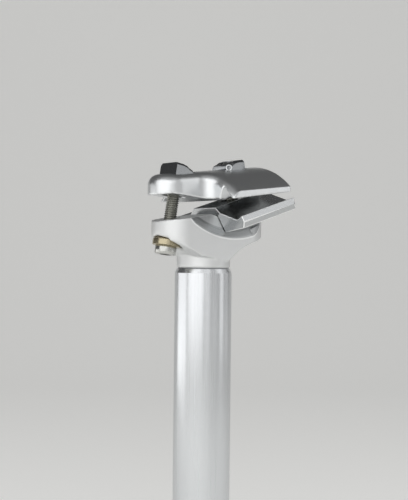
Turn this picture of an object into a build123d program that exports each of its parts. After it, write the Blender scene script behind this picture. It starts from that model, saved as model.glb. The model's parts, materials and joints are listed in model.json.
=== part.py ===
"""Micro-adjust bicycle seatpost: straight tube, forged head with a turned tilt seat, rail clamp, two bolts.

Millimetres. +Z runs up the tube from its cut lower end, +X points to the rear of the bicycle and Y = 0 is
the centre plane of the post. Every "height" below is measured up from the joint of tube and head.
"""

import math
import os

from build123d import *

# Tube
TUBE_DIAMETER = 27.2
TUBE_LENGTH = 250.0
TUBE_WALL = 2.3
TUBE_BEVEL_HEIGHT = 2.0
TUBE_BEVEL_DEPTH = 0.85
TUBE_FOOT_CHAMFER = 0.4

# Head: neck, spigot in the tube, and a boat-shaped forging with a lug at each end
NECK_DIAMETER = 25.5
SPIGOT_LENGTH = 24.0
SPIGOT_CLEARANCE = 0.05
JOINT_GROOVE_HEIGHT = 0.7
JOINT_GROOVE_DEPTH = 0.6
LUG_FRONT_REACH = 27.8
LUG_REAR_REACH = 32.6
LUG_NOSE_HEIGHT = 22.1
LUG_NOSE_UNDERSIDE = 13.2
LUG_TAIL_UNDERSIDE = 16.4
HEAD_TOP_SLOPE = 8.2
BLEND_FRONT_X = 11.0
BLEND_FRONT_HEIGHT = 6.0
BLEND_REAR_X = 6.0
BLEND_REAR_HEIGHT = 3.8
TAIL_KNEE_X = 22.9
TAIL_KNEE_HEIGHT = 13.1
UNDERSIDE_BULGE_FRONT = 0.3
UNDERSIDE_BULGE_REAR = 1.5

# Tilt seat: a ridge turned about a cross axis above the rails, on which the lower cradle slides
TILT_AXIS_X = 8.4
TILT_AXIS_HEIGHT = 60.2
SEAT_RADIUS = 36.0
SEAT_HALF_WIDTH = 8.7
SEAT_FLANK_RISE = 2.45
SEAT_CLEARANCE = 0.12
FLANK_CLEARANCE = 0.3
SHOULDER_RADIUS = 42.0
SHOULDER_ANGLE = 15.0
SHOULDER_CLEARANCE = 0.4
FLANK_STEP = 0.15
TILT_RANGE = 6.0

# Saddle rails and lower cradle
RAIL_SPACING = 44.0
RAIL_DIAMETER = 7.0
CRADLE_TILT = 17.0
CRADLE_LENGTH = 35.3
CRADLE_CENTRE_X = 18.6
CRADLE_GROOVE_HEIGHT = 27.9
CRADLE_CREST = 6.3
CRADLE_CREST_HALF_WIDTH = 8.3
CRADLE_STEP_Y = 11.0
CRADLE_STEP = 3.6
CRADLE_LIP_HEIGHT = 1.9
CRADLE_LIP_OFFSET = 4.0
CRADLE_RIDGE_OFFSET = 4.9
CRADLE_RIDGE_DROP = 1.0
CRADLE_FOOT_OFFSET = 3.6
CRADLE_FOOT_DROP = 4.0
CRADLE_KEEL_DROP = 5.8
CRADLE_SIDE_CLEARANCE = 0.3
CRADLE_GROOVE_FILLET = 2.5
CRADLE_CORNER_RADIUS = 3.0
CRADLE_SLOT_LENGTH = 14.0

# Upper clamp: wings with the rail grooves, and an arm reaching forward to the front bolt
UPPER_TILT = 7.7
UPPER_RAIL_X = 14.2
UPPER_RAIL_HEIGHT = 34.35
WING_FRONT_X = -5.6
WING_REAR_X = 30.5
UPPER_HALF_WIDTH = 28.0
UPPER_LIP_RISE = 0.35
UPPER_FOOT_RISE = 0.4
GROOVE_INNER_ANGLE = 20.0
GROOVE_OUTER_ANGLE = 45.0
UPPER_RECESS = 5.2
UPPER_RECESS_HALF_WIDTH = 9.5
DOME_RISE = 13.85
DOME_SLOPE = 6.6
DOME_DROP = 10.7
ARM_NOSE_X = -20.6
ARM_HALF_WIDTH = 10.2
ARM_NOSE_RISE = 0.45
ARM_ROOT_X = -2.0
ARM_ROOT_DROP = 2.45
ARM_END_X = 12.0
ARM_FLARE = 6.0
CLAMP_TOP_FILLET = 5.0

# Bolts, spherical washers and rocker nuts
FRONT_NUT_X = -16.8
FRONT_NUT_RISE = 8.85
FRONT_BOLT_LEAN = 9.5
FRONT_PIVOT_HEIGHT = 6.9
REAR_NUT_X = 15.4
REAR_NUT_RISE = 12.65
REAR_BOLT_LEAN = -8.7
REAR_PIVOT_HEIGHT = 11.7
BOLT_DIAMETER = 6.0
BOLT_HEAD_DIAMETER = 10.0
BOLT_HEAD_HEIGHT = 4.0
BOLT_HEAD_CHAMFER = 0.6
BOLT_SOCKET_FLATS = 5.0
BOLT_SOCKET_DEPTH = 2.4
BOLT_TIP_CHAMFER = 0.7
BOLT_TIP_SETBACK = 0.5
WASHER_DIAMETER = 13.0
WASHER_SPHERE_RADIUS = 9.0
WASHER_RIM = 2.6
WASHER_CLEARANCE = 0.3
WASHER_SEAT_CLEARANCE = 0.1
SWING_HOLE_DIAMETER = 9.2
FRONT_POCKET_RADIUS = 7.6
REAR_POCKET_RADIUS = 7.5
POCKET_DEPTH = 16.0
SLOT_WIDTH = 6.8
FRONT_SLOT_LENGTH = 11.8
REAR_SLOT_LENGTH = 10.0
NUT_RADIUS = 5.0
NUT_HEIGHT = 5.2
NUT_LENGTH = 13.0
NUT_THREAD_CLEARANCE = 0.6
NUT_TOP_CHAMFER = 1.2
NUT_SLOPE_LENGTH = 5.5
NUT_SLOPE_DROP = 1.8
NUT_SEAT_CLEARANCE = 0.12
NUT_ROCK_CLEARANCE = 0.6
NUT_SIDE_CLEARANCE = 0.3

# Positions that follow from the values above
JOINT = TUBE_LENGTH
NECK_RADIUS = NECK_DIAMETER / 2
BORE_RADIUS = TUBE_DIAMETER / 2 - TUBE_WALL
RAIL_Y = RAIL_SPACING / 2
FRONT_NUT_HEIGHT = UPPER_RAIL_HEIGHT + FRONT_NUT_RISE
REAR_NUT_HEIGHT = UPPER_RAIL_HEIGHT + REAR_NUT_RISE
WASHER_RADIUS = WASHER_DIAMETER / 2
RIM_TOP = math.sqrt(WASHER_SPHERE_RADIUS**2 - WASHER_RADIUS**2)
RIM_BOTTOM = RIM_TOP - WASHER_RIM
SEAT_PLANE = RIM_TOP + WASHER_SEAT_CLEARANCE
SEAT_BALL_RADIUS = WASHER_SPHERE_RADIUS + WASHER_SEAT_CLEARANCE
FAR = 80.0


def bolt_axis(nut_x, nut_height, pivot_height, lean):
    """Plane at the centre of a bolt's spherical washer, with local Z running up the bolt."""
    lean_rad = math.radians(lean)
    pivot_x = nut_x - (nut_height - pivot_height) * math.tan(lean_rad)
    across = (math.cos(lean_rad), 0, -math.sin(lean_rad))
    along = (math.sin(lean_rad), 0, math.cos(lean_rad))
    return Plane(origin=(pivot_x, 0, JOINT + pivot_height), x_dir=across, z_dir=along)


def tilted_section(x, height, tilt):
    """Cross-section plane facing up the rails: local X is across the post, local Y is off the rails."""
    tilt_rad = math.radians(tilt)
    along = (math.cos(tilt_rad), 0, math.sin(tilt_rad))
    return Plane(origin=(x, 0, JOINT + height), x_dir=(0, 1, 0), z_dir=along)


front_axis = bolt_axis(FRONT_NUT_X, FRONT_NUT_HEIGHT, FRONT_PIVOT_HEIGHT, FRONT_BOLT_LEAN)
rear_axis = bolt_axis(REAR_NUT_X, REAR_NUT_HEIGHT, REAR_PIVOT_HEIGHT, REAR_BOLT_LEAN)
front_reach = (FRONT_NUT_HEIGHT - FRONT_PIVOT_HEIGHT) / math.cos(math.radians(FRONT_BOLT_LEAN))
rear_reach = (REAR_NUT_HEIGHT - REAR_PIVOT_HEIGHT) / math.cos(math.radians(REAR_BOLT_LEAN))
tilt_section = tilted_section(TILT_AXIS_X, TILT_AXIS_HEIGHT, 0)
shoulder_section = tilted_section(TILT_AXIS_X, TILT_AXIS_HEIGHT, SHOULDER_ANGLE)
relief_section = tilted_section(TILT_AXIS_X, TILT_AXIS_HEIGHT, SHOULDER_ANGLE - TILT_RANGE - 1)
tilt_axis = Axis((TILT_AXIS_X, 0, JOINT + TILT_AXIS_HEIGHT), (0, 1, 0))
rearward_axis = Axis((TILT_AXIS_X, 0, JOINT + TILT_AXIS_HEIGHT), (0, -1, 0))
cradle_section = tilted_section(CRADLE_CENTRE_X, CRADLE_GROOVE_HEIGHT, CRADLE_TILT)
upper_section = tilted_section(UPPER_RAIL_X, UPPER_RAIL_HEIGHT, UPPER_TILT)
dome_section = tilted_section(UPPER_RAIL_X, UPPER_RAIL_HEIGHT + DOME_RISE, DOME_SLOPE)
cradle_plan = Plane(cradle_section.origin, x_dir=cradle_section.z_dir, z_dir=cradle_section.y_dir)

# Tube: polished, straight cut below, bevelled where it meets the head
with BuildPart() as tube:
    with BuildSketch(Plane.XZ) as tube_wall:
        with BuildLine():
            Polyline(
                (BORE_RADIUS, TUBE_FOOT_CHAMFER),
                (BORE_RADIUS + TUBE_FOOT_CHAMFER, 0),
                (TUBE_DIAMETER / 2, 0),
                (TUBE_DIAMETER / 2, JOINT - TUBE_BEVEL_HEIGHT),
                (TUBE_DIAMETER / 2 - TUBE_BEVEL_DEPTH, JOINT),
                (BORE_RADIUS, JOINT),
                close=True,
            )
        make_face()
    revolve(axis=Axis.Z)
tube.part.label = "tube"

# Head: lugs cut from a side silhouette and a plan, on the neck and spigot
front_end = -LUG_FRONT_REACH
rear_end = LUG_REAR_REACH
nose_top = JOINT + LUG_NOSE_HEIGHT
tail_top = nose_top + (rear_end - front_end) * math.tan(math.radians(HEAD_TOP_SLOPE))
front_mid = ((-BLEND_FRONT_X + front_end) / 2, JOINT + (BLEND_FRONT_HEIGHT + LUG_NOSE_UNDERSIDE) / 2)
rear_mid = ((BLEND_REAR_X + TAIL_KNEE_X) / 2, JOINT + (BLEND_REAR_HEIGHT + TAIL_KNEE_HEIGHT) / 2)
flank_reach = NECK_RADIUS + 1.5
flank_radius = SEAT_RADIUS + SEAT_FLANK_RISE * (flank_reach - SEAT_HALF_WIDTH)
shoulder_y = SEAT_HALF_WIDTH + (SHOULDER_RADIUS - SEAT_RADIUS) / SEAT_FLANK_RISE

with BuildPart() as head:
    with BuildSketch(Plane.XZ) as silhouette:
        with BuildLine():
            ThreePointArc(
                (-BLEND_FRONT_X, JOINT + BLEND_FRONT_HEIGHT),
                (front_mid[0], front_mid[1] + UNDERSIDE_BULGE_FRONT),
                (front_end, JOINT + LUG_NOSE_UNDERSIDE),
            )
            Polyline(
                (front_end, JOINT + LUG_NOSE_UNDERSIDE),
                (front_end, nose_top),
                (rear_end, tail_top),
                (rear_end, JOINT + LUG_TAIL_UNDERSIDE),
                (TAIL_KNEE_X, JOINT + TAIL_KNEE_HEIGHT),
            )
            ThreePointArc(
                (TAIL_KNEE_X, JOINT + TAIL_KNEE_HEIGHT),
                (rear_mid[0], rear_mid[1] + UNDERSIDE_BULGE_REAR),
                (BLEND_REAR_X, JOINT + BLEND_REAR_HEIGHT),
            )
            Line((BLEND_REAR_X, JOINT + BLEND_REAR_HEIGHT), (-BLEND_FRONT_X, JOINT + BLEND_FRONT_HEIGHT))
        make_face()
    extrude(amount=NECK_DIAMETER, both=True)
    with BuildSketch(Plane.XY.offset(JOINT)) as plan:
        with Locations(((front_end + rear_end) / 2, 0)):
            SlotOverall(rear_end - front_end, NECK_DIAMETER)
    extrude(amount=FAR, mode=Mode.INTERSECT)
    with Locations((0, 0, JOINT + JOINT_GROOVE_HEIGHT)):
        Cylinder(NECK_RADIUS, LUG_NOSE_UNDERSIDE, align=(Align.CENTER, Align.CENTER, Align.MIN))
    with Locations((0, 0, JOINT)):
        Cylinder(
            NECK_RADIUS - JOINT_GROOVE_DEPTH,
            LUG_NOSE_UNDERSIDE,
            align=(Align.CENTER, Align.CENTER, Align.MIN),
        )
        Cylinder(
            BORE_RADIUS - SPIGOT_CLEARANCE,
            SPIGOT_LENGTH,
            align=(Align.CENTER, Align.CENTER, Align.MAX),
        )
    with BuildSketch(tilt_section) as seat_profile:
        with BuildLine():
            Polyline(
                (-flank_reach, 0),
                (-flank_reach, -SHOULDER_RADIUS),
                (-shoulder_y, -SHOULDER_RADIUS),
                (-SEAT_HALF_WIDTH, -SEAT_RADIUS),
                (SEAT_HALF_WIDTH, -SEAT_RADIUS),
                (shoulder_y, -SHOULDER_RADIUS),
                (flank_reach, -SHOULDER_RADIUS),
                (flank_reach, 0),
                close=True,
            )
        make_face()
    revolve(axis=tilt_axis, mode=Mode.SUBTRACT)
    with BuildSketch(shoulder_section) as flank_profile:
        with BuildLine():
            Polyline(
                (shoulder_y + FLANK_STEP, -SHOULDER_RADIUS + FLANK_STEP),
                (flank_reach, -SHOULDER_RADIUS + FLANK_STEP),
                (flank_reach, -flank_radius),
                (shoulder_y + FLANK_STEP, -SHOULDER_RADIUS),
                close=True,
            )
        make_face()
        mirror(about=Plane.YZ)
    revolve(axis=tilt_axis, revolution_arc=120, mode=Mode.SUBTRACT)
    seat_latitude = math.degrees(math.acos((WASHER_RADIUS + WASHER_CLEARANCE) / SEAT_BALL_RADIUS))
    for axis_plane, pocket_radius in ((front_axis, FRONT_POCKET_RADIUS), (rear_axis, REAR_POCKET_RADIUS)):
        with BuildSketch(axis_plane.offset(SEAT_PLANE)):
            Circle(pocket_radius)
        extrude(amount=-POCKET_DEPTH, mode=Mode.SUBTRACT)
        with BuildSketch(axis_plane):
            Circle(SWING_HOLE_DIAMETER / 2)
        extrude(amount=FAR / 2, mode=Mode.SUBTRACT)
        with Locations(Location(axis_plane)):
            Sphere(SEAT_BALL_RADIUS, arc_size1=seat_latitude, align=None, mode=Mode.SUBTRACT)
head.part.label = "head"

# Lower cradle: V-grooved wings either side of a crest, hollowed underneath to ride the turned ridge
keel_y = NECK_RADIUS + CRADLE_SIDE_CLEARANCE
ridge_radius = SEAT_RADIUS - SEAT_CLEARANCE
ridge_half = SEAT_HALF_WIDTH + FLANK_CLEARANCE
keel_radius = ridge_radius + SEAT_FLANK_RISE * (keel_y - ridge_half)

with BuildPart() as lower_cradle:
    with BuildSketch(cradle_section) as cradle_profile:
        with BuildLine():
            Polyline(
                (0, CRADLE_CREST),
                (CRADLE_CREST_HALF_WIDTH, CRADLE_CREST),
                (CRADLE_STEP_Y, CRADLE_STEP),
                (RAIL_Y, 0),
                (RAIL_Y + CRADLE_LIP_OFFSET, CRADLE_LIP_HEIGHT),
                (RAIL_Y + CRADLE_RIDGE_OFFSET, -CRADLE_RIDGE_DROP),
                (RAIL_Y + CRADLE_FOOT_OFFSET, -CRADLE_FOOT_DROP),
                (keel_y, -CRADLE_KEEL_DROP),
                (0, -CRADLE_KEEL_DROP),
                close=True,
            )
        make_face()
        mirror(about=Plane.YZ)
        groove_bottoms = cradle_profile.vertices().filter_by(lambda v: abs(abs(v.X) - RAIL_Y) < 0.01)
        fillet(groove_bottoms, radius=CRADLE_GROOVE_FILLET)
    extrude(amount=CRADLE_LENGTH / 2, both=True)
    with BuildSketch(cradle_plan) as cradle_outline:
        Rectangle(CRADLE_LENGTH, 2 * (RAIL_Y + CRADLE_RIDGE_OFFSET))
        fillet(cradle_outline.vertices().group_by(Axis.X)[-1], radius=CRADLE_CORNER_RADIUS)
    extrude(amount=FAR / 2, both=True, mode=Mode.INTERSECT)
    with BuildSketch(tilt_section) as ridge_profile:
        with BuildLine():
            Polyline(
                (-keel_y, -FAR),
                (-keel_y, -keel_radius),
                (-ridge_half, -ridge_radius),
                (ridge_half, -ridge_radius),
                (keel_y, -keel_radius),
                (keel_y, -FAR),
                close=True,
            )
        make_face()
    revolve(axis=tilt_axis, mode=Mode.SUBTRACT)
    with BuildSketch(relief_section) as relief_profile:
        with Locations((0, -SHOULDER_RADIUS + SHOULDER_CLEARANCE)):
            Rectangle(2 * keel_y, FAR / 2, align=(Align.CENTER, Align.MAX))
    revolve(axis=rearward_axis, revolution_arc=90, mode=Mode.SUBTRACT)
    with BuildSketch(rear_axis) as cradle_slot:
        SlotOverall(CRADLE_SLOT_LENGTH, SLOT_WIDTH)
    extrude(amount=FAR / 2, mode=Mode.SUBTRACT)
lower_cradle.part.label = "lower_cradle"

# Upper clamp: a pillow-shaped blank, cut below to wings with inverted V-grooves and an arm
groove_half_angle = math.radians(GROOVE_INNER_ANGLE + GROOVE_OUTER_ANGLE) / 2
groove_lean = math.radians(GROOVE_OUTER_ANGLE - GROOVE_INNER_ANGLE) / 2
groove_reach = RAIL_DIAMETER / 2 / math.sin(groove_half_angle)
groove_apex = (RAIL_Y - groove_reach * math.sin(groove_lean), groove_reach * math.cos(groove_lean))
inner_slope = math.tan(math.radians(GROOVE_INNER_ANGLE))
outer_slope = math.tan(math.radians(GROOVE_OUTER_ANGLE))
inner_foot_y = groove_apex[0] - (groove_apex[1] - UPPER_FOOT_RISE) * inner_slope
lip_y = groove_apex[0] + (groove_apex[1] - UPPER_LIP_RISE) * outer_slope

nose_tip = ARM_NOSE_X - ARM_HALF_WIDTH
flare_start = (WING_FRONT_X - ARM_FLARE, ARM_HALF_WIDTH)
flare_end = (WING_FRONT_X, ARM_HALF_WIDTH + ARM_FLARE)
flare_mid = (
    flare_start[0] + ARM_FLARE * math.sin(math.radians(45)),
    flare_end[1] - ARM_FLARE * math.cos(math.radians(45)),
)

with BuildPart() as blank:
    with BuildSketch(Plane.XY.offset(JOINT)) as blank_plan:
        with BuildLine():
            ThreePointArc((ARM_NOSE_X, ARM_HALF_WIDTH), (nose_tip, 0), (ARM_NOSE_X, -ARM_HALF_WIDTH))
            for side in (-1, 1):
                Line((ARM_NOSE_X, side * ARM_HALF_WIDTH), (flare_start[0], side * flare_start[1]))
                ThreePointArc(
                    (flare_start[0], side * flare_start[1]),
                    (flare_mid[0], side * flare_mid[1]),
                    (flare_end[0], side * flare_end[1]),
                )
                Polyline(
                    (WING_FRONT_X, side * flare_end[1]),
                    (WING_FRONT_X, side * UPPER_HALF_WIDTH),
                    (WING_REAR_X, side * UPPER_HALF_WIDTH),
                )
            Line((WING_REAR_X, -UPPER_HALF_WIDTH), (WING_REAR_X, UPPER_HALF_WIDTH))
        make_face()
    extrude(amount=FAR)
    with BuildSketch(dome_section) as dome_profile:
        with BuildLine():
            ThreePointArc((-UPPER_HALF_WIDTH, -DOME_DROP), (0, 0), (UPPER_HALF_WIDTH, -DOME_DROP))
            Polyline(
                (UPPER_HALF_WIDTH, -DOME_DROP),
                (UPPER_HALF_WIDTH, -FAR),
                (-UPPER_HALF_WIDTH, -FAR),
                (-UPPER_HALF_WIDTH, -DOME_DROP),
            )
        make_face()
    extrude(amount=FAR, both=True, mode=Mode.INTERSECT)
    dome_face = blank.faces().sort_by(Axis.Z)[-1]
    front_rim = dome_face.edges().filter_by(lambda edge: edge.center().X < WING_FRONT_X + 0.1)
    fillet(front_rim, radius=CLAMP_TOP_FILLET)

with BuildPart() as arm:
    with BuildSketch(Plane.XZ) as arm_side:
        with BuildLine():
            Polyline(
                (nose_tip, JOINT + UPPER_RAIL_HEIGHT + ARM_NOSE_RISE),
                (ARM_ROOT_X, JOINT + UPPER_RAIL_HEIGHT - ARM_ROOT_DROP),
                (ARM_END_X, JOINT + UPPER_RAIL_HEIGHT + UPPER_RECESS),
                (ARM_END_X, JOINT + FAR),
                (nose_tip, JOINT + FAR),
                close=True,
            )
        make_face()
    extrude(amount=inner_foot_y, both=True)
    add(blank.part, mode=Mode.INTERSECT)

with BuildPart() as upper_clamp:
    with BuildSketch(upper_section) as wing_profile:
        with BuildLine():
            Polyline(
                (0, UPPER_RECESS),
                (UPPER_RECESS_HALF_WIDTH, UPPER_RECESS),
                (inner_foot_y, UPPER_FOOT_RISE),
                groove_apex,
                (lip_y, UPPER_LIP_RISE),
                (UPPER_HALF_WIDTH, UPPER_LIP_RISE),
                (UPPER_HALF_WIDTH, FAR / 2),
                (0, FAR / 2),
                close=True,
            )
        make_face()
        mirror(about=Plane.YZ)
    extrude(amount=FAR, both=True)
    add(blank.part, mode=Mode.INTERSECT)
    add(arm.part)
    for axis_plane, reach, slot_length in (
        (front_axis, front_reach, FRONT_SLOT_LENGTH),
        (rear_axis, rear_reach, REAR_SLOT_LENGTH),
    ):
        with BuildSketch(axis_plane):
            SlotOverall(slot_length, SLOT_WIDTH)
        extrude(amount=FAR, mode=Mode.SUBTRACT)
        nut_centre = axis_plane.offset(reach)
        seat_radius = NUT_RADIUS + NUT_SEAT_CLEARANCE
        seat_length = NUT_LENGTH + 2 * NUT_SIDE_CLEARANCE
        with Locations(Location(nut_centre)):
            Cylinder(seat_radius, seat_length, rotation=(90, 0, 0), mode=Mode.SUBTRACT)
            Box(
                2 * (NUT_RADIUS + NUT_ROCK_CLEARANCE),
                seat_length,
                FAR / 4,
                align=(Align.CENTER, Align.CENTER, Align.MIN),
                mode=Mode.SUBTRACT,
            )
upper_clamp.part.label = "upper_clamp"


def build_bolt(axis_plane, reach):
    """Low-head socket bolt, drawn up its own axis from the centre of its washer's sphere."""
    head_foot = RIM_BOTTOM - BOLT_HEAD_HEIGHT
    tip = reach + NUT_HEIGHT - BOLT_TIP_SETBACK
    with BuildPart() as bolt:
        with BuildSketch(axis_plane.offset(head_foot)):
            Circle(BOLT_HEAD_DIAMETER / 2)
        extrude(amount=BOLT_HEAD_HEIGHT)
        chamfer(bolt.edges().sort_by(Axis.Z)[0], length=BOLT_HEAD_CHAMFER)
        with BuildSketch(axis_plane.offset(RIM_BOTTOM)):
            Circle(BOLT_DIAMETER / 2)
        extrude(amount=tip - RIM_BOTTOM)
        chamfer(bolt.edges().sort_by(Axis.Z)[-1], length=BOLT_TIP_CHAMFER)
        with BuildSketch(axis_plane.offset(head_foot)):
            RegularPolygon(BOLT_SOCKET_FLATS / 2, 6, major_radius=False)
        extrude(amount=BOLT_SOCKET_DEPTH, mode=Mode.SUBTRACT)
    return bolt.part


def build_washer(axis_plane):
    """Round washer with a spherical top, which lets the bolt lean as the saddle tilts."""
    with BuildPart() as washer:
        with Locations(Location(axis_plane)):
            Sphere(WASHER_SPHERE_RADIUS)
        with BuildSketch(axis_plane.offset(RIM_BOTTOM)):
            Circle(WASHER_RADIUS)
        extrude(amount=WASHER_SPHERE_RADIUS, mode=Mode.INTERSECT)
        with BuildSketch(axis_plane):
            Circle(BOLT_DIAMETER / 2 + WASHER_CLEARANCE)
        extrude(amount=FAR / 4, mode=Mode.SUBTRACT)
    return washer.part


def build_nut(axis_plane, reach, outward):
    """Rocker nut: half-round below, a block above whose top falls away towards the other nut."""
    centre = axis_plane.offset(reach).origin
    with BuildPart() as nut:
        with BuildSketch(Plane(centre, x_dir=axis_plane.x_dir, z_dir=(0, -1, 0))):
            Circle(NUT_RADIUS)
            with BuildLine():
                Polyline(
                    (outward * NUT_RADIUS, 0),
                    (outward * NUT_RADIUS, NUT_HEIGHT),
                    (outward * (NUT_SLOPE_LENGTH - NUT_RADIUS), NUT_HEIGHT),
                    (-outward * NUT_RADIUS, NUT_HEIGHT - NUT_SLOPE_DROP),
                    (-outward * NUT_RADIUS, 0),
                    close=True,
                )
            make_face()
        extrude(amount=NUT_LENGTH / 2, both=True)
        side_edges = nut.edges().filter_by(lambda edge: abs(edge.center().Y) > NUT_LENGTH / 2 - 0.1)
        upper_edges = side_edges.filter_by(
            lambda edge: (edge.center() - centre).dot(axis_plane.z_dir) > (NUT_HEIGHT + NUT_TOP_CHAMFER) / 2
        )
        chamfer(upper_edges, length=NUT_TOP_CHAMFER)
        with BuildSketch(axis_plane):
            Circle(BOLT_DIAMETER / 2 + NUT_THREAD_CLEARANCE / 2)
        extrude(amount=FAR, mode=Mode.SUBTRACT)
    return nut.part


front_bolt = build_bolt(front_axis, front_reach)
front_bolt.label = "front_bolt"
rear_bolt = build_bolt(rear_axis, rear_reach)
rear_bolt.label = "rear_bolt"
front_washer = build_washer(front_axis)
front_washer.label = "front_washer"
rear_washer = build_washer(rear_axis)
rear_washer.label = "rear_washer"
front_nut = build_nut(front_axis, front_reach, -1)
front_nut.label = "front_nut"
rear_nut = build_nut(rear_axis, rear_reach, 1)
rear_nut.label = "rear_nut"

os.makedirs("parts", exist_ok=True)
export_step(tube.part, "parts/tube.step")
export_step(head.part, "parts/head.step")
export_step(lower_cradle.part, "parts/lower_cradle.step")
export_step(upper_clamp.part, "parts/upper_clamp.step")
export_step(front_bolt, "parts/front_bolt.step")
export_step(rear_bolt, "parts/rear_bolt.step")
export_step(front_washer, "parts/front_washer.step")
export_step(rear_washer, "parts/rear_washer.step")
export_step(front_nut, "parts/front_nut.step")
export_step(rear_nut, "parts/rear_nut.step")
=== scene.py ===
"""Looks of a bicycle seatpost with a two-bolt saddle clamp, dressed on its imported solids.

Metres. The frame is the solids' own: +Z up the tube from its cut end, +X to the rear of the bicycle.
"""

import json
import math

import bpy
from mathutils import Matrix, Quaternion, Vector


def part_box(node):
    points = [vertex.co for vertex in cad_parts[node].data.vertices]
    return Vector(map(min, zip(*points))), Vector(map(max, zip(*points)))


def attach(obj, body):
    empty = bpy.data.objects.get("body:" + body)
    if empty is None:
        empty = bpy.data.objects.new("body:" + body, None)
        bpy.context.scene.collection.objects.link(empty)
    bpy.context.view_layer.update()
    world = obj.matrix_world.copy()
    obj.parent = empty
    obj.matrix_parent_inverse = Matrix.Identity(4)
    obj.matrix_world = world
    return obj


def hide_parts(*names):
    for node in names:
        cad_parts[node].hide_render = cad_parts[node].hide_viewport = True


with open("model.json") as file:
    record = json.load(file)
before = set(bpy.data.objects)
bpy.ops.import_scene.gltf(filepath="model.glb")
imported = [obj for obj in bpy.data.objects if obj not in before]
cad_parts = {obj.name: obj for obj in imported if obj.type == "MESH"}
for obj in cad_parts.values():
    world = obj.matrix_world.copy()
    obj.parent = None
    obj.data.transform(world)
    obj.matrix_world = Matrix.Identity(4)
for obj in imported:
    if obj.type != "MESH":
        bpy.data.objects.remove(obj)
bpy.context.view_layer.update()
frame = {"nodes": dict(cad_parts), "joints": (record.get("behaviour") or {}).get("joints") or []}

bl_info = {
    "name": "Bicycle seatpost",
    "version": (1, 0, 0),
    "blender": (4, 5, 0),
    "location": "View3D > Sidebar > Seatpost",
    "description": "Dresses the tube, head, rail clamp, bolts, washers and nuts of a seatpost",
    "category": "Object",
}

MM = 0.001
ENDS = ("front", "rear")
CLAMP_METAL = "polished forged aluminium"

# Tilt seat turned into the head: its ridge's distance from the tilt axis and half width, and its flanks
SEAT_RADIUS = 36 * MM
SEAT_HALF_WIDTH = 8.85 * MM
FLANK_WIDTH = 10 * MM
FLANK_SLOPE = 2.45

# Painted highlight: a bright rim in the edge colour between the turned seat and the blasted forging,
# standing for the light that the seat's edge catches, as depths below the seat
RIM_START = 0.3 * MM
RIM_WIDTH = 0.6 * MM
RIM_BLUR = 0.1 * MM

# Patterns of the metals: the range that most of a noise lies in, stretches, sizes and depths
NOISE_LOW = 0.3
NOISE_HIGH = 0.7
LINE_STRETCH = 160
LINE_SMEAR = 0.4
CUT_STRETCH = 60
CRADLE_TILT = math.radians(17)
RELIEF_DEPTH = 0.008 * MM
BUFF_RIPPLE = 9 * MM
BUFF_DEPTH = 0.3 * MM
BUFF_HAZE = 0.8 * MM
EDGE_NICK = 0.7 * MM
PLATING_CLOUD = 1.2 * MM
THREAD_CLOUD = 1.5 * MM
BRASS_CLOUD = 0.9 * MM
STEEL_SCUFF = 0.6 * MM

# Rounding and softening of the solids' edges
MERGE_REACH = 0.002 * MM
FLAT_ANGLE = math.radians(0.4)
EDGE_ANGLE = math.radians(32)
EDGE_STEPS = 3
WASHER_ROUND = 0.2 * MM
TUBE_SMOOTH = math.radians(20)
BOLT_SMOOTH = math.radians(38)
MACHINED_SMOOTH = math.radians(40)
SMOOTH_FACTOR = 0.5
HEAD_PASSES = 12
CLAMP_PASSES = 16
SPIGOT_KEPT = 1.5 * MM

# Lip of the front washer's pocket, placed from the washer's centre along the bolt
LIP_RADIUS = 7.6 * MM
LIP_HEIGHT = 5.0 * MM
LIP_REACH = 2.5 * MM
LIP_PASSES = 140

# Bolts: the head's round and bevel are steps inwards and along the bolt, the crest is a share of the pitch
BOLT_HEAD_RADIUS = 5 * MM
BOLT_HEAD_HEIGHT = 4 * MM
BOLT_FOOT_ROUND = ((0.7 * MM, 0), (0.25 * MM, 0.15 * MM), (0, 0.55 * MM))
BOLT_NECK_BEVEL = (0.2 * MM, 0.3 * MM)
BOLT_TIP_BEVEL = 0.5 * MM
BOLT_SIDES = 64
SOCKET_SIDES = 6
SOCKET_FLATS = 5 * MM
SOCKET_DEPTH = 2.4 * MM
CREST_RADIUS = 2.97 * MM
CREST_START = 0.44
CREST_END = 0.56
THREAD_END = 0.6 * MM
THREAD_SIDES = 40
SEAM_REACH = 0.001 * MM

# Drilled eye at the rear nut's near front corner, placed from the nut's centre
EYE_NEAR = 5.7 * MM
EYE_FORWARD = 4.5 * MM
EYE_UP = 2.1 * MM
EYE_RADIUS = 0.75 * MM
EYE_DRILL = 6 * MM
# Its rim is a torus of the brighter clamp metal, a painted highlight round the eye
EYE_RIM_RADIUS = 1.25 * MM
EYE_RIM_HALF_THICKNESS = 0.42 * MM
EYE_RIM_OUT = 1.05 * MM
EYE_RIM_SIDES = 40
EYE_RIM_STEPS = 12

# Backdrop, in metres
FLOOR_SIZE = 5
BACKDROP_RISE = 1.3
BACKDROP_ROUND = 1.2
BACKDROP_STEPS = 24
PAPER_ROUGHNESS = 0.9
PAPER_GLOW = 0.52

# Soft boxes: name, degrees right of the camera and above level, width and height in metres, radiance
SOFT_BOXES = (
    ("left soft box", -93.5, -2.5, (0.97, 0.32), 1.25),
    ("front soft box", -30, 20, (1.48, 1.1), 1.4),
    ("near fill soft box", 18, 20, (0.44, 1.1), 0.86),
    ("far fill soft box", 48, 20, (0.62, 1.1), 0.48),
    ("right soft box", 80, 20, (0.4, 1.1), 1.05),
    ("rim soft box", 108, 20, (0.5, 1.1), 0.5),
    ("upper soft box", -12, 66, (1.3, 0.6), 0.26),
)
LAMP_REACH = 1.04
STUDIO_GREY = 0.11

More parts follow.
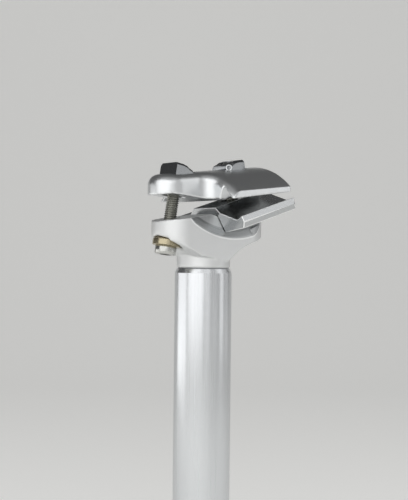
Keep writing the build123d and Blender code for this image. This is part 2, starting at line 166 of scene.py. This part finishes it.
# Camera: degrees right of the -Y axis and place from the joint of tube and head.
# The shift is a share of the picture's height, and the lens is in millimetres, as Blender has it.
CAMERA_SIDE = -39
CAMERA_REACH = 450 * MM
CAMERA_RISE = 8.8 * MM
CAMERA_ROLL = math.radians(0.6)
CAMERA_SHIFT = 0.001
SENSOR_HEIGHT = 36.0
FOCAL_LENGTH = 67.9
NEAR_CLIP = 10 * MM

# Places that the frame gives
pivots = {joint["name"]: Vector(joint["pos_m"]) for joint in frame["joints"]}
tilt_centre = pivots["saddle_tilt"]
joint_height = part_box("tube")[1].z


def linear(code):
    """Linear colour of an sRGB hex value."""
    channels = [int(code[i : i + 2], 16) / 255 for i in (1, 3, 5)]
    return tuple(c / 12.92 if c <= 0.04045 else ((c + 0.055) / 1.055) ** 2.4 for c in channels)


def colour(name, description, code):
    """Colour property with an sRGB hex default."""
    return bpy.props.FloatVectorProperty(
        name=name, description=description, subtype="COLOR", size=3, min=0.0, max=1.0, default=linear(code)
    )


def length(name, description, default):
    """Length property in metres."""
    return bpy.props.FloatProperty(
        name=name, description=description, unit="LENGTH", min=0.0, default=default
    )


class SeatpostColours(bpy.types.PropertyGroup):
    """Colours of the metals and the backdrop"""

    tube: colour("Tube", "Polished drawn aluminium", "#D3D5D7")
    forging: colour("Forging", "Bead-blasted aluminium of the head", "#DCDDDD")
    machined: colour("Machined seat", "Turned aluminium of the tilt seat", "#B0B2B3")
    cradle: colour("Cradle", "Milled aluminium of the lower cradle", "#BCBEBF")
    clamp: colour("Upper clamp", "Polished aluminium of the upper clamp", "#DADCDD")
    # Painted highlight: the edge colour lightens the cradle's rounded edges and the rim round the turned
    # seat, for the light that they catch
    edge: colour("Painted edge highlight", "Edges of the machined aluminium, lighter as a painted highlight", "#F2F3F3")
    bolt: colour("Bolts", "Zinc-plated steel", "#BDBDB9")
    # Painted shade: the threads' colour is darker than the bolts' for the shade in their deep grooves
    thread: colour("Threads", "Steel of the threads, darkened as painted shade", "#A0A09A")
    washer: colour("Washers", "Turned brass", "#B0A68C")
    nut: colour("Nuts", "Polished steel", "#8F9193")
    backdrop: colour("Backdrop", "Pale floor and backdrop", "#E4E4E2")


class SeatpostSizes(bpy.types.PropertyGroup):
    """Sizes that only the looks use"""

    thread_pitch: length("Thread pitch", "Rise of the bolts' thread in one turn", 1.0 * MM)
    thread_depth: length("Thread depth", "Depth of the bolts' thread", 0.55 * MM)
    forging_grid: length("Forging grid", "Grid that softens the forgings' edges", 0.32 * MM)
    edge_round: length("Edge round", "Rounding of the machined edges", 0.4 * MM)
    # Real drawing lines, blast dimples and tool marks are finer: these are drawn coarse enough to show.
    draw_line: length("Drawing line", "Spacing of the drawing lines along the tube", 0.5 * MM)
    blast_grit: length("Blast grit", "Size of the bead-blasted dimples", 0.3 * MM)
    tool_mark: length("Tool mark", "Spacing of turning and milling marks", 0.35 * MM)


def add_node(tree, kind, settings=(), links=()):
    """Adds a shader node, sets its properties and input values and links its inputs."""
    node = tree.nodes.new(kind)
    for key, value in dict(settings).items():
        if isinstance(key, int) or key in node.inputs:
            node.inputs[key].default_value = value
        else:
            setattr(node, key, value)
    for key, socket in dict(links).items():
        tree.links.new(node.inputs[key], socket)
    return node


def new_metal(name, base):
    """Empty metal with its Principled shader, node tree and object coordinates."""
    metal = bpy.data.materials.new(name)
    metal.use_nodes = True
    tree = metal.node_tree
    shader = tree.nodes["Principled BSDF"]
    shader.inputs["Base Color"].default_value = (*base, 1.0)
    shader.inputs["Metallic"].default_value = 1.0
    place = add_node(tree, "ShaderNodeTexCoord").outputs["Object"]
    return metal, tree, shader, place


def spread(tree, pattern, roughness):
    """Roughness that follows a pattern between two values."""
    low, high = roughness
    limits = {"From Min": NOISE_LOW, "From Max": NOISE_HIGH, "To Min": low, "To Max": high}
    return add_node(tree, "ShaderNodeMapRange", limits, {"Value": pattern}).outputs["Result"]


def vary(tree, shader, pattern, roughness):
    """Drives a shader's roughness between two values from a pattern."""
    tree.links.new(shader.inputs["Roughness"], spread(tree, pattern, roughness))


def dent(tree, shader, pattern, depth):
    """Bumps a shader's surface by a pattern, to a depth in metres."""
    bump = add_node(tree, "ShaderNodeBump", {"Strength": 1.0, "Distance": depth}, {"Height": pattern})
    tree.links.new(shader.inputs["Normal"], bump.outputs["Normal"])


def drawn_aluminium():
    """Drawn and polished tube: fine lines run along it and smear every highlight lengthwise."""
    scene = bpy.context.scene
    metal, tree, shader, place = new_metal("polished drawn aluminium", scene.seatpost_colours.tube)
    across = 1 / scene.seatpost_sizes.draw_line
    lines = add_node(
        tree,
        "ShaderNodeMapping",
        {"Scale": (across, across, across / LINE_STRETCH)},
        {"Vector": place},
    )
    noise = add_node(
        tree,
        "ShaderNodeTexNoise",
        {"Scale": 1.0, "Detail": 3.0, "Roughness": 0.6},
        {"Vector": lines.outputs["Vector"]},
    )
    vary(tree, shader, noise.outputs["Fac"], roughness=(0.19, 0.29))
    shader.inputs["Anisotropic"].default_value = LINE_SMEAR
    return metal


def seat_masks(tree, place):
    """Distance from the tilt axis, a mask of the turned seat and a mask of the seat with its painted
    highlight rim.
    """
    from_axis = add_node(
        tree, "ShaderNodeVectorMath", {"operation": "SUBTRACT", 1: tilt_centre}, {0: place}
    ).outputs["Vector"]
    flat = add_node(
        tree, "ShaderNodeVectorMath", {"operation": "MULTIPLY", 1: (1, 0, 1)}, {0: from_axis}
    ).outputs["Vector"]
    radius = add_node(tree, "ShaderNodeVectorMath", {"operation": "LENGTH"}, {0: flat}).outputs["Value"]
    across = add_node(tree, "ShaderNodeSeparateXYZ", links={"Vector": from_axis}).outputs["Y"]
    side = add_node(tree, "ShaderNodeMath", {"operation": "ABSOLUTE"}, {0: across}).outputs["Value"]
    seat = add_node(
        tree,
        "ShaderNodeMapRange",
        {
            "From Min": SEAT_HALF_WIDTH,
            "From Max": SEAT_HALF_WIDTH + FLANK_WIDTH,
            "To Min": SEAT_RADIUS,
            "To Max": SEAT_RADIUS + FLANK_SLOPE * FLANK_WIDTH,
        },
        {"Value": side},
    ).outputs["Result"]
    depth = add_node(tree, "ShaderNodeMath", {"operation": "SUBTRACT"}, {0: radius, 1: seat})
    turned, bright = [
        add_node(
            tree,
            "ShaderNodeMapRange",
            {"From Min": edge, "From Max": edge + RIM_BLUR, "To Min": 1.0, "To Max": 0.0},
            {"Value": depth.outputs["Value"]},
        ).outputs["Result"]
        for edge in (RIM_START, RIM_START + RIM_WIDTH)
    ]
    return radius, turned, bright


def blasted_aluminium():
    """Bead-blasted forging, an even satin of small dimples, with its tilt seat turned on a lathe.

    The lathe's grooves run in arcs about the tilt axis, and a bright rim painted round the seat is a painted
    highlight of its edge.
    """
    sizes = bpy.context.scene.seatpost_sizes
    colours = bpy.context.scene.seatpost_colours
    metal, tree, shader, place = new_metal("bead-blasted aluminium", colours.forging)
    radius, turned, bright = seat_masks(tree, place)
    # Inputs 6 and 7 and output 2 of a Mix node are its colours.
    # Painted highlight: the rim mask mixes the lighter edge colour into the forging round the seat.
    rim = add_node(
        tree,
        "ShaderNodeMix",
        {"data_type": "RGBA", 6: (*colours.forging, 1.0), 7: (*colours.edge, 1.0)},
        {0: bright},
    )
    base = add_node(
        tree,
        "ShaderNodeMix",
        {"data_type": "RGBA", 7: (*colours.machined, 1.0)},
        {0: turned, 6: rim.outputs[2]},
    )
    tree.links.new(shader.inputs["Base Color"], base.outputs[2])
    grit = add_node(
        tree, "ShaderNodeTexNoise", {"Scale": 1 / sizes.blast_grit, "Detail": 2.0}, {"Vector": place}
    ).outputs["Fac"]
    grooves = add_node(
        tree,
        "ShaderNodeTexNoise",
        {"noise_dimensions": "1D", "Scale": 1 / sizes.tool_mark, "Detail": 2.0},
        {"W": radius},
    ).outputs["Fac"]
    relief = add_node(
        tree, "ShaderNodeMapRange", links={"Value": turned, "To Min": grit, "To Max": grooves}
    )
    dent(tree, shader, relief.outputs["Result"], RELIEF_DEPTH)
    satin = spread(tree, grit, roughness=(0.46, 0.56))
    sheen = spread(tree, grooves, roughness=(0.26, 0.42))
    gloss = add_node(tree, "ShaderNodeMapRange", links={"Value": turned, "To Min": satin, "To Max": sheen})
    tree.links.new(shader.inputs["Roughness"], gloss.outputs["Result"])
    return metal


def milled_aluminium():
    """Milled cradle: bright flats with faint cutter lines along the rails."""
    scene = bpy.context.scene
    metal, tree, shader, place = new_metal("milled aluminium", scene.seatpost_colours.cradle)
    across = 1 / scene.seatpost_sizes.tool_mark
    lines = add_node(
        tree,
        "ShaderNodeMapping",
        {"Rotation": (0, CRADLE_TILT, 0), "Scale": (across / CUT_STRETCH, across, across)},
        {"Vector": place},
    )
    noise = add_node(
        tree, "ShaderNodeTexNoise", {"Scale": 1.0, "Detail": 2.0}, {"Vector": lines.outputs["Vector"]}
    )
    vary(tree, shader, noise.outputs["Fac"], roughness=(0.2, 0.28))
    return metal


def polished_forging():
    """Hand-polished forging: bright, with the slow ripple that a buffing wheel leaves."""
    metal, tree, shader, place = new_metal(CLAMP_METAL, bpy.context.scene.seatpost_colours.clamp)
    ripple = add_node(
        tree, "ShaderNodeTexNoise", {"Scale": 1 / BUFF_RIPPLE, "Detail": 1.0}, {"Vector": place}
    )
    haze = add_node(
        tree, "ShaderNodeTexNoise", {"Scale": 1 / BUFF_HAZE, "Detail": 3.0}, {"Vector": place}
    )
    vary(tree, shader, haze.outputs["Fac"], roughness=(0.3, 0.35))
    dent(tree, shader, ripple.outputs["Fac"], BUFF_DEPTH)
    return metal


def clouded_metal(name, base, cloud_size, detail, roughness):
    """Metal whose roughness drifts between two values, in clouds of a given size."""
    metal, tree, shader, place = new_metal(name, base)
    cloud = add_node(
        tree, "ShaderNodeTexNoise", {"Scale": 1 / cloud_size, "Detail": detail}, {"Vector": place}
    )
    vary(tree, shader, cloud.outputs["Fac"], roughness)
    return metal


def painted_edge_highlight():
    """Rounded edge in a lighter colour than the flats: a painted highlight, the thin bright line that an
    edge catches from the lamps.
    """
    base = bpy.context.scene.seatpost_colours.edge
    return clouded_metal("aluminium edge with painted highlight", base, EDGE_NICK, detail=2.0, roughness=(0.42, 0.56))


def plated_steel():
    """Zinc-plated bolt steel: greyish, slightly cloudy."""
    base = bpy.context.scene.seatpost_colours.bolt
    return clouded_metal("zinc-plated steel", base, PLATING_CLOUD, detail=4.0, roughness=(0.16, 0.28))


def painted_shade_thread_steel():
    """Rolled thread: the same steel, but duller, and darker as painted shade for its deep grooves."""
    base = bpy.context.scene.seatpost_colours.thread
    return clouded_metal("thread steel with painted shade", base, THREAD_CLOUD, detail=3.0, roughness=(0.24, 0.4))


def turned_brass():
    """Turned brass washer: warm and a little dulled."""
    base = bpy.context.scene.seatpost_colours.washer
    return clouded_metal("turned brass", base, BRASS_CLOUD, detail=4.0, roughness=(0.18, 0.32))


def polished_steel():
    """Polished nut steel: near-mirror flats with faint scuffs."""
    base = bpy.context.scene.seatpost_colours.nut
    return clouded_metal("polished steel", base, STEEL_SCUFF, detail=5.0, roughness=(0.14, 0.24))


def only(piece):
    """Makes a piece the one selected and active object."""
    bpy.ops.object.select_all(action="DESELECT")
    piece.select_set(True)
    bpy.context.view_layer.objects.active = piece


def apply_modifier(piece, kind, **settings):
    """Adds a modifier with its settings and applies it."""
    only(piece)
    modifier = piece.modifiers.new(kind.title(), kind)
    for key, value in settings.items():
        setattr(modifier, key, value)
    bpy.ops.object.modifier_apply(modifier=modifier.name)


def copy_node(node, name, *metals):
    """Copies a solid as a new piece of one or more metals, with its loose triangles merged."""
    piece = bpy.data.objects.new(name, frame["nodes"][node].data.copy())
    bpy.context.scene.collection.objects.link(piece)
    only(piece)
    piece.data.materials.clear()
    for metal in metals:
        piece.data.materials.append(metal)
    bpy.ops.object.mode_set(mode="EDIT")
    bpy.ops.mesh.select_all(action="SELECT")
    bpy.ops.mesh.remove_doubles(threshold=MERGE_REACH)
    bpy.ops.object.mode_set(mode="OBJECT")
    if piece.data.has_custom_normals:
        bpy.ops.mesh.customdata_custom_splitnormals_clear()
    return piece


def round_edges(piece, width, clamp=True):
    """Joins the flats of a machined piece and rounds its edges, in its last metal.

    With clamp, the whole piece's rounds are narrowed until none runs into the next.
    """
    only(piece)
    bpy.ops.object.mode_set(mode="EDIT")
    bpy.ops.mesh.select_all(action="SELECT")
    bpy.ops.mesh.dissolve_limited(angle_limit=FLAT_ANGLE)
    bpy.ops.object.mode_set(mode="OBJECT")
    apply_modifier(
        piece,
        "BEVEL",
        width=width,
        segments=EDGE_STEPS,
        limit_method="ANGLE",
        angle_limit=EDGE_ANGLE,
        use_clamp_overlap=clamp,
        material=len(piece.data.materials) - 1,
    )
    bpy.ops.object.shade_smooth_by_angle(angle=MACHINED_SMOOTH)
    apply_modifier(piece, "WEIGHTED_NORMAL", keep_sharp=True)


def soften(piece, grid, passes):
    """Softens all edges of a forging on a fine grid."""
    apply_modifier(piece, "REMESH", mode="VOXEL", voxel_size=grid, use_smooth_shade=True)
    apply_modifier(piece, "SMOOTH", factor=SMOOTH_FACTOR, iterations=passes)
    bpy.ops.object.shade_smooth()


def place_piece(piece, body, node):
    """Gives a finished piece its body and hides the solid that it stands for."""
    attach(piece, body)
    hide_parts(node)


def bolt_axis(end):
    """Centre of the washer at one end, and the direction from it along the bolt to its nut."""
    seat = pivots[f"{end}_bolt_swing"]
    return seat, (pivots[f"{end}_nut_rock"] - seat).normalized()


class SEATPOST_OT_tube(bpy.types.Operator):
    """Dress the polished tube"""

    bl_idname = "seatpost.tube"
    bl_label = "Tube"

    def execute(self, context):
        piece = copy_node("tube", "polished_tube", drawn_aluminium())
        bpy.ops.object.shade_smooth_by_angle(angle=TUBE_SMOOTH)
        place_piece(piece, "post", "tube")
        return {"FINISHED"}


class SEATPOST_OT_head(bpy.types.Operator):
    """Dress the forged head and its turned tilt seat"""

    bl_idname = "seatpost.head"
    bl_label = "Head"

    def execute(self, context):
        piece = copy_node("head", "forged_head", blasted_aluminium())
        self.cut_spigot()
        soften(piece, context.scene.seatpost_sizes.forging_grid, HEAD_PASSES)
        self.ease_lip(piece)
        place_piece(piece, "post", "head")
        return {"FINISHED"}

    def cut_spigot(self):
        """Cuts off the spigot that the tube hides, a little below the joint."""
        cut_height = joint_height - SPIGOT_KEPT
        bpy.ops.object.mode_set(mode="EDIT")
        bpy.ops.mesh.select_all(action="SELECT")
        bpy.ops.mesh.bisect(
            plane_co=(0, 0, cut_height), plane_no=(0, 0, 1), clear_inner=True, use_fill=True
        )
        bpy.ops.object.mode_set(mode="OBJECT")

    def ease_lip(self, piece):
        """Eases the thin lip where the front washer's pocket opens through the nose of the lug."""
        seat, along = bolt_axis("front")
        lip = piece.vertex_groups.new(name="pocket lip")
        for vertex in piece.data.vertices:
            spot = vertex.co - seat
            height = spot.dot(along)
            radius = (spot - height * along).length
            off_lip = math.hypot(radius - LIP_RADIUS, height - LIP_HEIGHT)
            # Full weight within the lip's reach, then fading to nothing at twice that
            weight = min(1.0, 2.0 - off_lip / LIP_REACH)
            if weight > 0:
                lip.add([vertex.index], weight, "REPLACE")
        apply_modifier(piece, "SMOOTH", factor=SMOOTH_FACTOR, iterations=LIP_PASSES, vertex_group=lip.name)
        piece.vertex_groups.clear()


class SEATPOST_OT_cradle(bpy.types.Operator):
    """Dress the milled lower cradle"""

    bl_idname = "seatpost.cradle"
    bl_label = "Lower cradle"

    def execute(self, context):
        # The rounds of the edges take the second metal, whose lighter colour is a painted highlight.
        piece = copy_node("lower_cradle", "milled_cradle", milled_aluminium(), painted_edge_highlight())
        round_edges(piece, context.scene.seatpost_sizes.edge_round, clamp=False)
        place_piece(piece, "saddle_clamp", "lower_cradle")
        return {"FINISHED"}


class SEATPOST_OT_upper_clamp(bpy.types.Operator):
    """Dress the polished upper clamp"""

    bl_idname = "seatpost.upper_clamp"
    bl_label = "Upper clamp"

    def execute(self, context):
        piece = copy_node("upper_clamp", "polished_clamp", polished_forging())
        soften(piece, context.scene.seatpost_sizes.forging_grid, CLAMP_PASSES)
        place_piece(piece, "saddle_clamp", "upper_clamp")
        return {"FINISHED"}


def draw_profile(points):
    """Draws an open line through points given as (radius, height), one extrusion after another."""
    bpy.ops.object.select_all(action="DESELECT")
    # A small triangle, merged into one point, is the start of the line.
    bpy.ops.mesh.primitive_circle_add(vertices=3, radius=MM)
    profile = bpy.context.active_object
    bpy.ops.object.mode_set(mode="EDIT")
    bpy.ops.mesh.select_mode(type="VERT")
    bpy.ops.mesh.merge(type="CENTER")
    bpy.ops.transform.translate(value=(points[0][0], 0, points[0][1]))
    for start, end in zip(points, points[1:]):
        step = (end[0] - start[0], 0, end[1] - start[1])
        bpy.ops.mesh.extrude_vertices_move(TRANSFORM_OT_translate={"value": step})
    bpy.ops.object.mode_set(mode="OBJECT")
    return profile


def join_seams(shape):
    """Merges the points that a turned shape repeats and faces it outwards."""
    only(shape)
    bpy.ops.object.mode_set(mode="EDIT")
    bpy.ops.mesh.select_all(action="SELECT")
    bpy.ops.mesh.remove_doubles(threshold=SEAM_REACH)
    bpy.ops.mesh.normals_make_consistent(inside=False)
    bpy.ops.object.mode_set(mode="OBJECT")


def lathe(points, steps):
    """Turns a line of (radius, height) points about the Z axis into a closed, outward-facing shape."""
    shape = draw_profile(points)
    apply_modifier(shape, "SCREW", axis="Z", angle=math.tau, steps=steps, render_steps=steps)
    join_seams(shape)
    return shape


class SEATPOST_OT_bolts(bpy.types.Operator):
    """Model the two threaded socket bolts"""

    bl_idname = "seatpost.bolts"
    bl_label = "Bolts"

    def execute(self, context):
        steel = plated_steel()
        # The thread's darker steel is painted shade.
        thread_steel = painted_shade_thread_steel()
        sizes = context.scene.seatpost_sizes
        for end in ENDS:
            seat, along = bolt_axis(end)
            solid = frame["nodes"][f"{end}_bolt"].data
            spans = [(vertex.co - seat).dot(along) for vertex in solid.vertices]
            foot, tip = min(spans), max(spans)
            piece = self.head_and_core(foot, tip, CREST_RADIUS - sizes.thread_depth)
            piece.data.materials.append(steel)
            thread = self.thread(foot + BOLT_HEAD_HEIGHT, tip, sizes)
            thread.data.materials.append(thread_steel)
            only(piece)
            thread.select_set(True)
            bpy.ops.object.join()
            piece.name = f"{end}_threaded_bolt"
            turn = Vector((0, 0, 1)).rotation_difference(along)
            piece.matrix_world = Matrix.Translation(seat) @ turn.to_matrix().to_4x4()
            bpy.ops.object.transform_apply(location=True, rotation=True, scale=True)
            bpy.ops.object.shade_smooth_by_angle(angle=BOLT_SMOOTH)
            place_piece(piece, f"{end}_bolt_set", f"{end}_bolt")
        return {"FINISHED"}

    def head_and_core(self, foot, tip, core):
        """Socket head and the core that carries the thread, with the washer's centre at the origin."""
        under_head = foot + BOLT_HEAD_HEIGHT
        bevel_in, bevel_along = BOLT_NECK_BEVEL
        shape = lathe(
            [
                (0, foot),
                *[(BOLT_HEAD_RADIUS - inset, foot + rise) for inset, rise in BOLT_FOOT_ROUND],
                (BOLT_HEAD_RADIUS, under_head - bevel_along),
                (BOLT_HEAD_RADIUS - bevel_in, under_head),
                (core, under_head),
                (core, tip - BOLT_TIP_BEVEL),
                (core - BOLT_TIP_BEVEL, tip),
                (0, tip),
            ],
            BOLT_SIDES,
        )
        bpy.ops.mesh.primitive_cylinder_add(
            vertices=SOCKET_SIDES,
            radius=SOCKET_FLATS / 2 / math.cos(math.pi / SOCKET_SIDES),
            depth=2 * SOCKET_DEPTH,
            location=(0, 0, foot),
        )
        socket = bpy.context.active_object
        apply_modifier(shape, "BOOLEAN", operation="DIFFERENCE", object=socket, solver="EXACT")
        bpy.data.objects.remove(socket)
        return shape

    def thread(self, start, tip, sizes):
        """Thread wound round the core, from under the head to just short of the tip."""
        pitch = sizes.thread_pitch
        root = CREST_RADIUS - sizes.thread_depth
        turns = int((tip - THREAD_END - start) / pitch)
        ridge = draw_profile(
            [
                (root, start),
                (CREST_RADIUS, start + CREST_START * pitch),
                (CREST_RADIUS, start + CREST_END * pitch),
                (root, start + pitch),
            ]
        )
        apply_modifier(
            ridge,
            "SCREW",
            axis="Z",
            angle=math.tau,
            screw_offset=pitch,
            iterations=turns,
            steps=THREAD_SIDES,
            render_steps=THREAD_SIDES,
        )
        join_seams(ridge)
        return ridge


class SEATPOST_OT_washers(bpy.types.Operator):
    """Dress the two spherical washers"""

    bl_idname = "seatpost.washers"
    bl_label = "Washers"

    def execute(self, context):
        metal = turned_brass()
        for end in ENDS:
            piece = copy_node(f"{end}_washer", f"{end}_brass_washer", metal)
            round_edges(piece, WASHER_ROUND)
            place_piece(piece, f"{end}_bolt_set", f"{end}_washer")
        return {"FINISHED"}


class SEATPOST_OT_nuts(bpy.types.Operator):
    """Dress the two rocker nuts"""

    bl_idname = "seatpost.nuts"
    bl_label = "Nuts"

    def execute(self, context):
        metal = polished_steel()
        for end in ENDS:
            piece = copy_node(f"{end}_nut", f"{end}_rocker_nut", metal)
            round_edges(piece, context.scene.seatpost_sizes.edge_round)
            if end == "rear":
                self.add_eye(piece)
            place_piece(piece, f"{end}_nut_block", f"{end}_nut")
        return {"FINISHED"}

    def add_eye(self, nut):
        """Drills the small hole at the near front corner of the rear nut and rings it with a painted
        highlight: a torus of the brighter clamp metal.
        """
        _, up = bolt_axis("rear")
        forward = Vector((-up.z, 0, up.x))
        near = Vector((0, -1, 0))
        outward = (near + forward).normalized()
        spot = pivots["rear_nut_rock"] + EYE_NEAR * near + EYE_FORWARD * forward + EYE_UP * up
        facing = outward.to_track_quat("Z", "Y").to_euler()
        bpy.ops.mesh.primitive_cylinder_add(
            radius=EYE_RADIUS, depth=EYE_DRILL, location=spot, rotation=facing
        )
        drill = bpy.context.active_object
        apply_modifier(nut, "BOOLEAN", operation="DIFFERENCE", object=drill, solver="EXACT")
        bpy.data.objects.remove(drill)
        bpy.ops.mesh.primitive_torus_add(
            major_radius=EYE_RIM_RADIUS,
            minor_radius=EYE_RIM_HALF_THICKNESS,
            major_segments=EYE_RIM_SIDES,
            minor_segments=EYE_RIM_STEPS,
            location=spot + EYE_RIM_OUT * outward,
            rotation=facing,
        )
        rim = bpy.context.active_object
        rim.name = "rear_nut_eye"
        bpy.ops.object.transform_apply(location=True, rotation=True, scale=True)
        bpy.ops.object.shade_smooth()
        # Painted highlight: the rim takes the brighter polished clamp metal.
        rim.data.materials.append(bpy.data.materials[CLAMP_METAL])
        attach(rim, "rear_nut_block")


class SEATPOST_OT_stage(bpy.types.Operator):
    """Set the pale backdrop, the studio light and the camera"""

    bl_idname = "seatpost.stage"
    bl_label = "Stage"

    def execute(self, context):
        self.backdrop(context.scene.seatpost_colours.backdrop)
        self.lamps()
        self.camera(context.scene)
        context.scene.view_settings.view_transform = "Standard"
        return {"FINISHED"}

    def backdrop(self, base):
        """Pale floor that curves up into a backdrop behind the post, square to the camera."""
        bpy.ops.object.select_all(action="DESELECT")
        bpy.ops.mesh.primitive_plane_add(size=FLOOR_SIZE)
        sweep = bpy.context.active_object
        sweep.name = "backdrop"
        bpy.ops.object.mode_set(mode="EDIT")
        bpy.ops.mesh.select_mode(type="EDGE")
        self.select_fold(sweep)
        bpy.ops.mesh.extrude_region_move(TRANSFORM_OT_translate={"value": (0, 0, BACKDROP_RISE)})
        self.select_fold(sweep)
        bpy.ops.mesh.bevel(offset=BACKDROP_ROUND, segments=BACKDROP_STEPS)
        bpy.ops.object.mode_set(mode="OBJECT")
        bpy.ops.object.shade_smooth()
        sweep.rotation_euler.z = math.radians(CAMERA_SIDE)
        bpy.ops.object.transform_apply(location=True, rotation=True, scale=True)
        sweep.data.materials.append(self.pale_paper(base))

    def select_fold(self, sweep):
        """Selects, in edit mode, the floor's far edge, where the backdrop folds up."""
        bpy.ops.mesh.select_all(action="DESELECT")
        bpy.ops.object.mode_set(mode="OBJECT")
        for edge in sweep.data.edges:
            ends = [sweep.data.vertices[i].co for i in edge.vertices]
            edge.select = all(end.y > FLOOR_SIZE / 4 and end.z < BACKDROP_RISE / 2 for end in ends)
        bpy.ops.object.mode_set(mode="EDIT")

    def pale_paper(self, base):
        """Matt paper with an even glow that only the camera and the metals' reflections see."""
        paper = bpy.data.materials.new("pale paper")
        paper.use_nodes = True
        tree = paper.node_tree
        shader = tree.nodes["Principled BSDF"]
        shader.inputs["Base Color"].default_value = (*base, 1.0)
        shader.inputs["Roughness"].default_value = PAPER_ROUGHNESS
        shader.inputs["Emission Color"].default_value = (*base, 1.0)
        ray = add_node(tree, "ShaderNodeLightPath")
        seen = add_node(
            tree,
            "ShaderNodeMath",
            {"operation": "MAXIMUM"},
            {0: ray.outputs["Is Camera Ray"], 1: ray.outputs["Is Glossy Ray"]},
        )
        glow = add_node(
            tree, "ShaderNodeMath", {"operation": "MULTIPLY", 1: PAPER_GLOW}, {0: seen.outputs["Value"]}
        )
        tree.links.new(shader.inputs["Emission Strength"], glow.outputs["Value"])
        return paper

    def lamps(self):
        """Soft boxes round the camera's side of the post, in a dim grey studio."""
        world = bpy.data.worlds.new("studio")
        bpy.context.scene.world = world
        world.use_nodes = True
        grey = (STUDIO_GREY, STUDIO_GREY, STUDIO_GREY, 1.0)
        world.node_tree.nodes["Background"].inputs["Color"].default_value = grey
        for box in SOFT_BOXES:
            self.soft_box(*box)

    def soft_box(self, name, turn, rise, size, glow):
        """Rectangular lamp facing the joint, a number of degrees right of the camera and above level."""
        lamp = bpy.data.lights.new(name, "AREA")
        lamp.shape = "RECTANGLE"
        lamp.size, lamp.size_y = size
        lamp.energy = glow * math.pi * size[0] * size[1]
        box = bpy.data.objects.new(name, lamp)
        bpy.context.scene.collection.objects.link(box)
        side = math.radians(CAMERA_SIDE + turn)
        climb = math.radians(rise)
        level = Vector((math.sin(side), -math.cos(side), 0)) * math.cos(climb)
        outward = level + Vector((0, 0, math.sin(climb)))
        box.location = Vector((0, 0, joint_height)) + LAMP_REACH * outward
        box.rotation_euler = (-outward).to_track_quat("-Z", "Y").to_euler()

    def camera(self, scene):
        """Level camera at the photograph's height and side, rolled a little so that the tube leans right."""
        lens = bpy.data.cameras.new("camera")
        lens.sensor_fit = "VERTICAL"
        lens.sensor_height = SENSOR_HEIGHT
        lens.lens = FOCAL_LENGTH
        lens.clip_start = NEAR_CLIP
        lens.shift_x = CAMERA_SHIFT
        camera = bpy.data.objects.new("camera", lens)
        scene.collection.objects.link(camera)
        side = math.radians(CAMERA_SIDE)
        towards = Vector((math.sin(side), -math.cos(side), 0))
        camera.location = Vector((0, 0, joint_height + CAMERA_RISE)) + CAMERA_REACH * towards
        level = (-towards).to_track_quat("-Z", "Y")
        camera.rotation_euler = (level @ Quaternion((0, 0, 1), CAMERA_ROLL)).to_euler()
        scene.camera = camera


class SEATPOST_PT_panel(bpy.types.Panel):
    """Lists the steps that dress the seatpost"""

    bl_idname = "SEATPOST_PT_panel"
    bl_label = "Seatpost"
    bl_space_type = "VIEW_3D"
    bl_region_type = "UI"
    bl_category = "Seatpost"

    def draw(self, context):
        for step in STEPS:
            self.layout.operator(step.bl_idname)


STEPS = (
    SEATPOST_OT_tube,
    SEATPOST_OT_head,
    SEATPOST_OT_cradle,
    SEATPOST_OT_upper_clamp,
    SEATPOST_OT_bolts,
    SEATPOST_OT_washers,
    SEATPOST_OT_nuts,
    SEATPOST_OT_stage,
)
CLASSES = (SeatpostColours, SeatpostSizes, *STEPS, SEATPOST_PT_panel)


def register():
    """Registers the classes and puts the settings on the scene."""
    for cls in CLASSES:
        bpy.utils.register_class(cls)
    bpy.types.Scene.seatpost_colours = bpy.props.PointerProperty(type=SeatpostColours)
    bpy.types.Scene.seatpost_sizes = bpy.props.PointerProperty(type=SeatpostSizes)


def unregister():
    """Takes the settings and the classes away again."""
    del bpy.types.Scene.seatpost_sizes
    del bpy.types.Scene.seatpost_colours
    for cls in reversed(CLASSES):
        bpy.utils.unregister_class(cls)


def main():
    """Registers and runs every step."""
    register()
    bpy.ops.seatpost.tube()
    bpy.ops.seatpost.head()
    bpy.ops.seatpost.cradle()
    bpy.ops.seatpost.upper_clamp()
    bpy.ops.seatpost.bolts()
    bpy.ops.seatpost.washers()
    bpy.ops.seatpost.nuts()
    bpy.ops.seatpost.stage()


if __name__ == "__main__":
    main()
